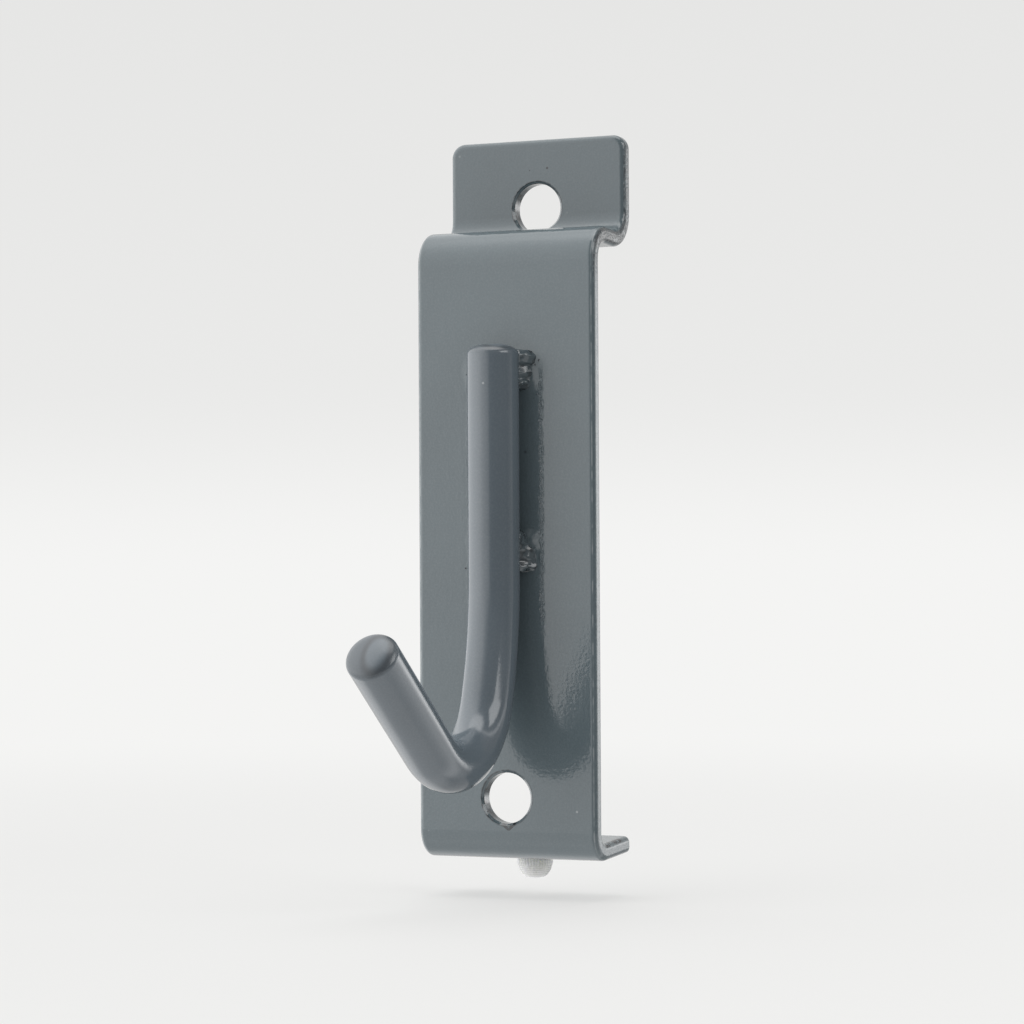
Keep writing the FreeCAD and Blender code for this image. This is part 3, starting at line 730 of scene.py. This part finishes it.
    def heat_marks(self, front_face):
        """Ripples and seams beside the bar, as two reliefs."""
        nodes = self.nodes
        across_fade, up_fade = STRIP_FADES
        strip = nodes.times(
            nodes.between(self.beside, *STRIP_ACROSS, across_fade),
            nodes.between(self.z, *STRIP_HEIGHTS, up_fade),
            front_face,
        )
        ripple = nodes.noise(nodes.stretch(self.place, RIPPLE_STRETCH), 1.0, 3, 0.6)
        seams = 0.0
        for middle, scale in SEAMS:
            wander = nodes.minus(nodes.noise(self.place, scale, 3), 0.5)
            wandering = nodes.plus(self.beside, nodes.times(wander, SEAM_WANDER))
            seams = nodes.math("MAXIMUM", seams, nodes.near(wandering, middle, SEAM_HALF))
        broken = nodes.ramp(self.torn, *SEAM_LEVELS)
        right = nodes.ramp(self.x, -1.0, 1.0, SEAM_LEFT_SHARE, 1.0)
        return nodes.times(ripple, strip), nodes.times(seams, strip, broken, right)

    def heaps(self, front_face):
        """Coat heaped on the plate beside each weld."""
        nodes = self.nodes
        heaps = 0.0
        for middle, half, width in SKIRTS:
            out = nodes.math("DIVIDE", nodes.minus(self.beside, SKIRT_START), width)
            rise = nodes.math("DIVIDE", nodes.minus(self.z, middle), half)
            heaps = nodes.plus(heaps, nodes.ramp(nodes.length(out, rise), *SKIRT_SLOPE))
        return nodes.times(heaps, front_face)


def plate_coat():
    """The folded plate's coat: rippled beside the welds, darkened with painted shade in the holes and on
    their rims, torn and shaded at the sides, with a painted highlight along the front edges.
    """
    coat = PlateCoat()
    nodes = coat.nodes
    tears = coat.tear_sides()
    coat.paint_stain_and_light(nodes.ramp(coat.z, *TONGUE_GAIN, 0.0, TONGUE_DARK))
    coat.paint_edge_highlight()
    reaches = [coat.shade_hole(height, face) for height, face in HOLES]
    coat.chip_rim(reaches[1])
    coat.nick_foot()
    coat.add_specks(PLATE_DARK_SPECKS)
    coat.add_specks(PLATE_LIGHT_SPECKS, PALE_WEAR_AND_HIGHLIGHT)
    front_face = nodes.ramp(coat.y, *FRONT_FACE)
    ripples, seams = coat.heat_marks(front_face)
    coat.relief = [
        (coat.heaps(front_face), SKIRT_HEIGHT),
        (coat.peel(), PLATE_PEEL_HEIGHT),
        (ripples, RIPPLE_HEIGHT),
        (seams, SEAM_HEIGHT),
        (tears, TEAR_HEIGHT),
        (nodes.noise(coat.place, PLATE_GRAIN_SCALE), PLATE_GRAIN_HEIGHT),
    ]
    return coat.finish()


def groove_shade_lines(nodes, place):
    """Painted shade in the plug's knurl grooves and at its moulded rings, as lines, by turn about its axis
    and drop below its seat.
    """
    x, y, z = nodes.split(place)
    turn = nodes.math("ARCTAN2", nodes.minus(y, PLUG_SEAT[1]), x)
    drop = nodes.minus(PLUG_SEAT[2], z)
    groove = nodes.ramp(nodes.math("COSINE", nodes.times(turn, KNURL_COUNT)), *KNURL_WAVE)
    ring = nodes.ramp(nodes.math("COSINE", nodes.times(drop, 2 * math.pi / MOULD_SPACING)), *MOULD_WAVE)
    groove = nodes.times(groove, nodes.between(drop, *KNURL_DROPS, KNURL_FADE))
    ring = nodes.times(ring, nodes.between(drop, *MOULD_DROPS, MOULD_FADE))
    return nodes.times(nodes.math("MAXIMUM", groove, ring), CLEAR_GROOVE_SHADE_SHARE)


def clear_plastic():
    """Milky translucent plastic with faint clouding, moulding texture and painted shade in its grooves."""
    material, nodes = new_material("clear_moulding")
    place = nodes.place()
    cloud = nodes.noise(place, CLEAR_CLOUD_SCALE, 3)
    scuff = nodes.noise(place, CLEAR_SCUFF_SCALE, 2)
    tint = nodes.mix_colour(nodes.ramp(cloud, *CLEAR_CLOUD_LEVELS), CLEAR_TINT, CLEAR_CLOUD)
    tint = nodes.mix_colour(groove_shade_lines(nodes, place), tint, CLEAR_GROOVE_SHADE)
    shader = nodes.add("BsdfPrincipled")
    nodes.join(tint, shader.inputs["Base Color"])
    rough = nodes.ramp(scuff, *CLEAR_SCUFF_LEVELS, *CLEAR_ROUGHNESS)
    nodes.join(rough, shader.inputs["Roughness"])
    shader.inputs["IOR"].default_value = CLEAR_IOR
    shader.inputs["Transmission Weight"].default_value = CLEAR_THROUGH
    shader.inputs["Subsurface Weight"].default_value = CLEAR_MILKY
    shader.inputs["Subsurface Scale"].default_value = CLEAR_DEPTH * MM
    shader.inputs["Subsurface Radius"].default_value = CLEAR_SPREAD
    relief = nodes.bump(scuff, CLEAR_SCUFF_HEIGHT, CLEAR_SCUFF_STRENGTH)
    nodes.join(relief, shader.inputs["Normal"])
    nodes.show(shader)
    return material


# Meshes


def new_piece(name, vertices, faces, material, node):
    mesh = bpy.data.meshes.new(name)
    mesh.from_pydata(vertices, [], faces)
    mesh.validate()
    piece = bpy.data.objects.new(name, mesh)
    bpy.context.scene.collection.objects.link(piece)
    mesh.materials.append(material)
    for polygon in mesh.polygons:
        polygon.use_smooth = True
    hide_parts(node)
    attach(piece, "root")
    return piece


def closed_tube(rings):
    """Faces that join equal rings in order and close both ends with a middle vertex."""
    count = len(rings[0])
    vertices = [vertex for ring in rings for vertex in ring]
    faces = []
    for row in range(len(rings) - 1):
        start = row * count
        for i in range(count):
            j = (i + 1) % count
            faces.append((start + i, start + j, start + count + j, start + count + i))
    first = len(vertices)
    vertices.append(sum(rings[0], Vector()) / count)
    vertices.append(sum(rings[-1], Vector()) / count)
    last_ring = (len(rings) - 1) * count
    for i in range(count):
        j = (i + 1) % count
        faces.append((j, i, first))
        faces.append((last_ring + i, last_ring + j, first + 1))
    return vertices, faces


def to_metres(points):
    return [Vector(point) * MM for point in points]


def bar_path():
    """Points and directions down the bar's axis, from its top end to the arm's tip."""
    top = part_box("hook_rod")[1].z / MM
    path = []

    def add(across, up, turn):
        direction = Vector((0, -math.sin(turn), -math.cos(turn)))
        path.append((Vector((0, across, up)), direction))

    for step in range(STRAIGHT_STEPS):
        add(BAR_AXIS_Y, top - BAR_STRAIGHT * step / STRAIGHT_STEPS, 0)
    across, up = BAR_AXIS_Y, top - BAR_STRAIGHT
    turn = 0.0
    for bend_radius, end_turn, steps in (
        (UPPER_BEND_RADIUS, UPPER_BEND_TURN, UPPER_BEND_STEPS),
        (LOWER_BEND_RADIUS, ARM_TURN, LOWER_BEND_STEPS),
    ):
        begin = turn
        for step in range(steps):
            turn = begin + (end_turn - begin) * step / steps
            add(
                across + bend_radius * (math.cos(turn) - math.cos(begin)),
                up - bend_radius * (math.sin(turn) - math.sin(begin)),
                turn,
            )
        across += bend_radius * (math.cos(end_turn) - math.cos(begin))
        up -= bend_radius * (math.sin(end_turn) - math.sin(begin))
        turn = end_turn
    for step in range(ARM_STEPS + 1):
        run = ARM_LENGTH * step / ARM_STEPS
        add(across - run * math.sin(turn), up - run * math.cos(turn), turn)
    return path


def mark_depth(off):
    """Depth of the shear mark's shallow groove at a place off the end's middle."""
    reach = Vector(((off.x - MARK_OFFSET) * MARK_SQUEEZE, off.y, off.z)).length
    return MARK_DEPTH * math.exp(-((reach - MARK_RADIUS) / MARK_HALF) ** 2)


def make_bar(material):
    """The bent bar, its ends slightly domed and softly rounded."""
    path = bar_path()
    shares = [END_EDGE_SHARE * step / END_FLAT_STEPS for step in range(1, END_FLAT_STEPS + 1)]
    for step in range(1, END_RIM_STEPS + 1):
        closer = math.sin(math.pi / 2 * step / END_RIM_STEPS)
        shares.append(END_EDGE_SHARE + (1 - END_EDGE_SHARE) * closer)

    def ring(centre, direction, size):
        side = Vector((1, 0, 0))
        up = side.cross(direction)
        turns = [2 * math.pi * i / BAR_AROUND for i in range(BAR_AROUND)]
        return to_metres(centre + size * (math.cos(t) * side + math.sin(t) * up) for t in turns)

    def end_rings(end, inward):
        rings = []
        for share in shares:
            depth = BAR_END_DEPTH * (1 - math.sqrt(max(0.0, 1 - share ** BAR_END_POWER)))
            depth += BAR_END_DOME * share ** 2
            spots = ring(end + inward * depth, inward, BAR_RADIUS * share)
            rings.append([spot + inward * mark_depth(spot / MM - end) * MM for spot in spots])
        return rings

    start, start_way = path[0]
    tip, tip_way = path[-1]
    rings = end_rings(start, start_way)
    for place, direction in path:
        if min((place - start).length, (place - tip).length) > BAR_END_DEPTH + BAR_END_DOME:
            rings.append(ring(place, direction, BAR_RADIUS))
    rings += [list(reversed(r)) for r in reversed(end_rings(tip, -tip_way))]
    vertices, faces = closed_tube(align_rings(rings))
    return new_piece("hook_rod_coated", vertices, faces, material, "hook_rod")


def align_rings(rings):
    """Start each ring at the point nearest to the first point of the ring before it."""
    aligned = [rings[0]]
    for ring in rings[1:]:
        first = aligned[-1][0]
        nearest = min(range(len(ring)), key=lambda i: (ring[i] - first).length)
        aligned.append(ring[nearest:] + ring[:nearest])
    return aligned


def along_table(table, height):
    """Smoothly interpolated columns of a table at a height."""
    for upper, lower in zip(table, table[1:]):
        if lower[0] <= height <= upper[0]:
            share = (upper[0] - height) / (upper[0] - lower[0])
            share = share * share * (3 - 2 * share)
            return [a + (b - a) * share for a, b in zip(upper[1:], lower[1:])]
    return table[-1][1:]


def bead_side(sign, reach, climb, height, lumps, seed):
    """One side of a bead at a height, from its foot on the plate to its head on the bar."""
    foot = Vector((sign * reach, PLATE_FACE_Y + BEAD_FOOT, height))
    head = Vector((
        sign * BAR_RADIUS * math.sin(climb),
        BAR_AXIS_Y + BAR_RADIUS * math.cos(climb),
        height,
    ))
    hollow = Vector((head.x, foot.y, height))
    full = Vector((foot.x, head.y, height))
    bend = hollow.lerp(full, BEAD_FULLNESS)
    side = []
    for step in range(BEAD_STEPS + 1):
        share = step / BEAD_STEPS
        spot = foot.lerp(bend, share).lerp(bend.lerp(head, share), share)
        swell = math.sin(math.pi * share)
        lump = uneven(spot, BEAD_COARSE, (seed, 0, 0)) + uneven(spot, BEAD_FINE, (0, seed, 0))
        for middle, beside, radius, size in lumps:
            off = Vector((height - middle, (share - beside) * LUMP_SPREAD)).length
            lump += size * math.exp(-((off / radius) ** 2))
        spot += Vector((sign * LUMP_PUSH, -LUMP_PUSH, 0)) * (swell * lump)
        spot.z += swell * uneven(spot, BEAD_SHIFT, (0, 0, seed))
        side.append(spot)
    return side


def uneven(spot, size_and_scale, shift):
    """Smooth noise of a size and scale at a place."""
    size, scale = size_and_scale
    return size * noise.noise(spot * scale + Vector(shift))


def hidden_points(start, end):
    """Even points from the start up to, and without, the end."""
    return [start.lerp(end, step / BEAD_HIDDEN) for step in range(BEAD_HIDDEN)]


def weld_bead(table, lumps, seed):
    """Rings of a lumpy fillet on both sides of the bar, closed inside the bar and the plate."""
    top, bottom = table[0][0], table[-1][0]
    rings = []
    for row in range(BEAD_ROWS + 1):
        height = top + (bottom - top) * row / BEAD_ROWS
        left, right, climb = along_table(table, height)
        climb = math.radians(climb)
        left_side = bead_side(-1, left, climb, height, lumps, seed)
        right_side = bead_side(1, right, climb, height, lumps, seed)
        inner = Vector((0, BAR_AXIS_Y + BAR_RADIUS - BEAD_IN_BAR, height))
        outer = Vector((0, PLATE_FACE_Y + BEAD_IN_PLATE, height))
        ring = list(left_side)
        ring += hidden_points(left_side[-1], inner)[1:]
        ring += hidden_points(inner, right_side[-1])
        ring += list(reversed(right_side))
        ring += hidden_points(right_side[0], outer)[1:]
        ring += hidden_points(outer, left_side[0])
        rings.append(to_metres(ring))
    return closed_tube(rings)


def add_droplet(vertices, faces, centre, size):
    """A small spatter drop, half sunk in the plate."""
    around = DROP_AROUND
    levels = DROP_LEVELS
    first = len(vertices)
    for level in range(levels):
        tilt = math.pi / 2 * level / levels
        for i in range(around):
            turn = 2 * math.pi * i / around
            across = math.cos(tilt)
            way = Vector((math.cos(turn) * across, -math.sin(tilt), math.sin(turn) * across))
            vertices.append((centre + way * size) * MM)
    vertices.append((centre + Vector((0, -size, 0))) * MM)
    for level in range(levels - 1):
        for i in range(around):
            j = (i + 1) % around
            low = first + level * around
            faces.append((low + i, low + j, low + around + j, low + around + i))
    last = first + (levels - 1) * around
    for i in range(around):
        faces.append((last + i, last + (i + 1) % around, first + levels * around))


def make_weld(name, node, table, lumps, seed, material):
    vertices, faces = weld_bead(table, lumps, seed)
    scatter = random.Random(seed)
    top, bottom = table[0][0], table[-1][0]
    for sign in (-1, 1):
        for _ in range(SPATTER_COUNT):
            spot = Vector((
                sign * scatter.uniform(*SPATTER_ACROSS),
                PLATE_FACE_Y + SPATTER_SUNK,
                scatter.uniform(bottom - SPATTER_BELOW, top + SPATTER_ABOVE),
            ))
            add_droplet(vertices, faces, spot, scatter.uniform(*SPATTER_SIZES))
    return new_piece(name, vertices, faces, material, node)


def make_plug(material):
    """The push-in plug: head, stem, and a knurled body with moulded rings that narrows to its end."""
    around = KNURL_COUNT * KNURL_STEPS
    low, high = KNURL_HEIGHTS
    rings = []
    for radius, height in PLUG_PROFILE:
        depth = 0.0
        if low < height < high:
            depth = KNURL_DEPTH
        elif height < 0:
            depth = KNURL_DEPTH * KNURL_FAINT
        ring = []
        for i in range(around):
            turn = 2 * math.pi * i / around
            size = max(SMALLEST_RADIUS, radius - depth * (0.5 + 0.5 * math.cos(KNURL_COUNT * turn)))
            ring.append(Vector((size * math.cos(turn), size * math.sin(turn), height)))
        rings.append(ring)
    tilt = Matrix.Rotation(FOOT_SLOPE, 3, "X")
    seat = Vector(PLUG_SEAT)
    rings = [to_metres(seat + tilt @ spot for spot in ring) for ring in rings]
    vertices, faces = closed_tube(rings)
    return new_piece("foot_plug_moulded", vertices, faces, material, "foot_plug")


# Studio


def by_azimuth(nodes, turn, levels):
    """The level at an azimuth, between the stops given in degrees."""
    node = nodes.add("ValToRGB")
    stops = node.color_ramp.elements
    while len(stops) > 1:
        stops.remove(stops[-1])
    for index, (azimuth, level) in enumerate(levels):
        place = (azimuth + 180) / 360
        stop = stops[0] if index == 0 else stops.new(place)
        stop.position = place
        stop.color = (level / TENT_BRIGHTEST,) * 3 + (1,)
    nodes.join(turn, node.inputs["Fac"])
    return nodes.times(node.outputs["Color"], TENT_BRIGHTEST)


def tent_level(nodes, along_x, along_y, along_z):
    """Brightness of the tent in a direction: by azimuth at three heights, even at its top and bottom."""
    turn = nodes.math("ARCTAN2", along_x, nodes.times(along_y, -1.0))
    turn = nodes.ramp(turn, -math.pi, math.pi, smooth=False)
    above = nodes.ramp(along_z, *HIGH_SINES)
    level = nodes.blend(above, by_azimuth(nodes, turn, TENT_LEVEL), by_azimuth(nodes, turn, TENT_HIGH))
    level = nodes.blend(nodes.ramp(along_z, *BELOW_SINES), level, by_azimuth(nodes, turn, TENT_BELOW))
    level = nodes.blend(nodes.ramp(along_z, *ZENITH_SINES), level, TENT_ZENITH)
    return nodes.blend(nodes.ramp(along_z, *NADIR_SINES), level, TENT_NADIR)


def shown_colour(nodes, along_z):
    """Colour of the pale background that the camera sees."""
    pale = nodes.ramp(along_z, 0.0, PALE_ABOVE_SINE, PALE_HORIZON, PALE_ABOVE)
    drop = nodes.ramp(along_z, PALE_ABOVE_SINE, PALE_TOP_SINE, 0.0, PALE_TOP_DROP, smooth=False)
    pale = nodes.minus(pale, drop)
    tint = nodes.add("CombineColor")
    for socket, share in zip(tint.inputs, (1.0, 1.0, PALE_BLUE_SHARE)):
        nodes.join(nodes.times(pale, share), socket)
    return tint.outputs[0]


def make_world():
    """A light tent, bright to the front left and dim to the front right, before a pale background.

    The camera sees the background, and so do mirrored and transmitted rays near the view's direction.
    """
    world = bpy.data.worlds.new("tent")
    bpy.context.scene.world = world
    world.use_nodes = True
    nodes = Nodes(world.node_tree)
    along_x, along_y, along_z = nodes.split(nodes.add("TexCoord").outputs["Generated"])
    light = nodes.add("Background")
    nodes.join(tent_level(nodes, along_x, along_y, along_z), light.inputs["Strength"])
    shown = nodes.add("Background")
    nodes.join(shown_colour(nodes, along_z), shown.inputs["Color"])
    behind = nodes.plus(
        nodes.times(along_x, -math.sin(CAMERA_AZIMUTH)),
        nodes.times(along_y, math.cos(CAMERA_AZIMUTH)),
    )
    rays = nodes.add("LightPath")
    seen = nodes.plus(rays.outputs["Is Glossy Ray"], rays.outputs["Is Transmission Ray"])
    seen = nodes.math("MULTIPLY", seen, nodes.ramp(behind, *SHOWN_COSINES), clamp=True)
    seen = nodes.plus(rays.outputs["Is Camera Ray"], seen, clamp=True)
    choose = nodes.add("MixShader")
    nodes.join(seen, choose.inputs[0])
    nodes.join(light.outputs[0], choose.inputs[1])
    nodes.join(shown.outputs[0], choose.inputs[2])
    nodes.show(choose, "OutputWorld")


def make_lamp(name, azimuth, elevation, distance, width, height, power):
    """An area lamp aimed at the origin. Sizes are in metres and angles in degrees."""
    data = bpy.data.lights.new(name, "AREA")
    data.shape = "RECTANGLE"
    data.size = width
    data.size_y = height
    data.energy = power
    lamp = bpy.data.objects.new(name, data)
    bpy.context.scene.collection.objects.link(lamp)
    turn, rise = math.radians(azimuth), math.radians(elevation)
    way = Vector((
        math.sin(turn) * math.cos(rise),
        -math.cos(turn) * math.cos(rise),
        math.sin(rise),
    ))
    lamp.location = way * distance
    lamp.rotation_euler = way.to_track_quat("Z", "Y").to_euler()


def make_floor():
    """A pale floor that keeps the object's shadow, and turns into the shown background far away."""
    mesh = bpy.data.meshes.new("floor")
    corners = [
        (x * FLOOR_HALF, y * FLOOR_HALF, FLOOR_HEIGHT)
        for x, y in ((-1, -1), (1, -1), (1, 1), (-1, 1))
    ]
    mesh.from_pydata(corners, [], [(0, 1, 2, 3)])
    floor = bpy.data.objects.new("floor", mesh)
    bpy.context.scene.collection.objects.link(floor)
    material, nodes = new_material("pale_floor")
    surface = nodes.add("BsdfPrincipled")
    surface.inputs["Base Color"].default_value = rgba(FLOOR_COLOUR)
    surface.inputs["Roughness"].default_value = FLOOR_ROUGHNESS
    surface.inputs["Specular IOR Level"].default_value = 0.0
    plain = nodes.add("Emission")
    plain.inputs["Color"].default_value = rgba(FLOOR_SHOWN)
    plain.inputs["Strength"].default_value = 1.0
    reach = nodes.add("VectorMath", operation="LENGTH")
    nodes.join(nodes.add("TexCoord").outputs["Object"], reach.inputs[0])
    far = nodes.ramp(reach.outputs["Value"], *FLOOR_FADE, FLOOR_FIRST_PLAIN, 1.0)
    far = nodes.times(far, nodes.add("LightPath").outputs["Is Camera Ray"])
    whole = nodes.add("MixShader")
    nodes.join(far, whole.inputs[0])
    nodes.join(surface.outputs[0], whole.inputs[1])
    nodes.join(plain.outputs[0], whole.inputs[2])
    nodes.show(whole)
    mesh.materials.append(material)
    floor.visible_diffuse = False
    floor.visible_glossy = False


def make_camera():
    data = bpy.data.cameras.new("camera")
    data.sensor_width = SENSOR
    data.lens = FOCAL_PIXELS / IMAGE_WIDTH * SENSOR
    data.clip_start = 0.01
    data.clip_end = 50
    camera = bpy.data.objects.new("camera", data)
    bpy.context.scene.collection.objects.link(camera)
    view = Vector((
        -math.sin(CAMERA_AZIMUTH) * math.cos(CAMERA_ELEVATION),
        math.cos(CAMERA_AZIMUTH) * math.cos(CAMERA_ELEVATION),
        -math.sin(CAMERA_ELEVATION),
    ))
    right = view.cross(Vector((0, 0, 1))).normalized()
    up = right.cross(view)
    tilt = Matrix.Rotation(CAMERA_ROLL, 3, view)
    right, up = tilt @ right, tilt @ up
    turn = Matrix((right, up, -view)).transposed().to_4x4()
    camera.matrix_world = Matrix.Translation(TARGET - view * CAMERA_DISTANCE) @ turn
    bpy.context.scene.camera = camera


# Making

bar_finish = bar_coat()
weld_finish = weld_coat()
plastic = clear_plastic()
finishes = {"back_plate": plate_coat(), "hook_rod": bar_finish, "foot_plug": plastic}
for name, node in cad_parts.items():
    node.data.materials.clear()
    node.data.materials.append(finishes.get(name, weld_finish))

make_bar(bar_finish)
make_weld("upper_weld_bead", "upper_weld", UPPER_WELD, UPPER_LUMPS, UPPER_SEED, weld_finish)
make_weld("lower_weld_bead", "lower_weld", LOWER_WELD, LOWER_LUMPS, LOWER_SEED, weld_finish)
make_plug(plastic)
make_world()
make_lamp("strip", azimuth=79, elevation=31.5, distance=0.7, width=0.44, height=0.42, power=1.20)
make_floor()
make_camera()
bpy.context.scene.view_settings.view_transform = "Standard"

bpy.context.view_layer.update()
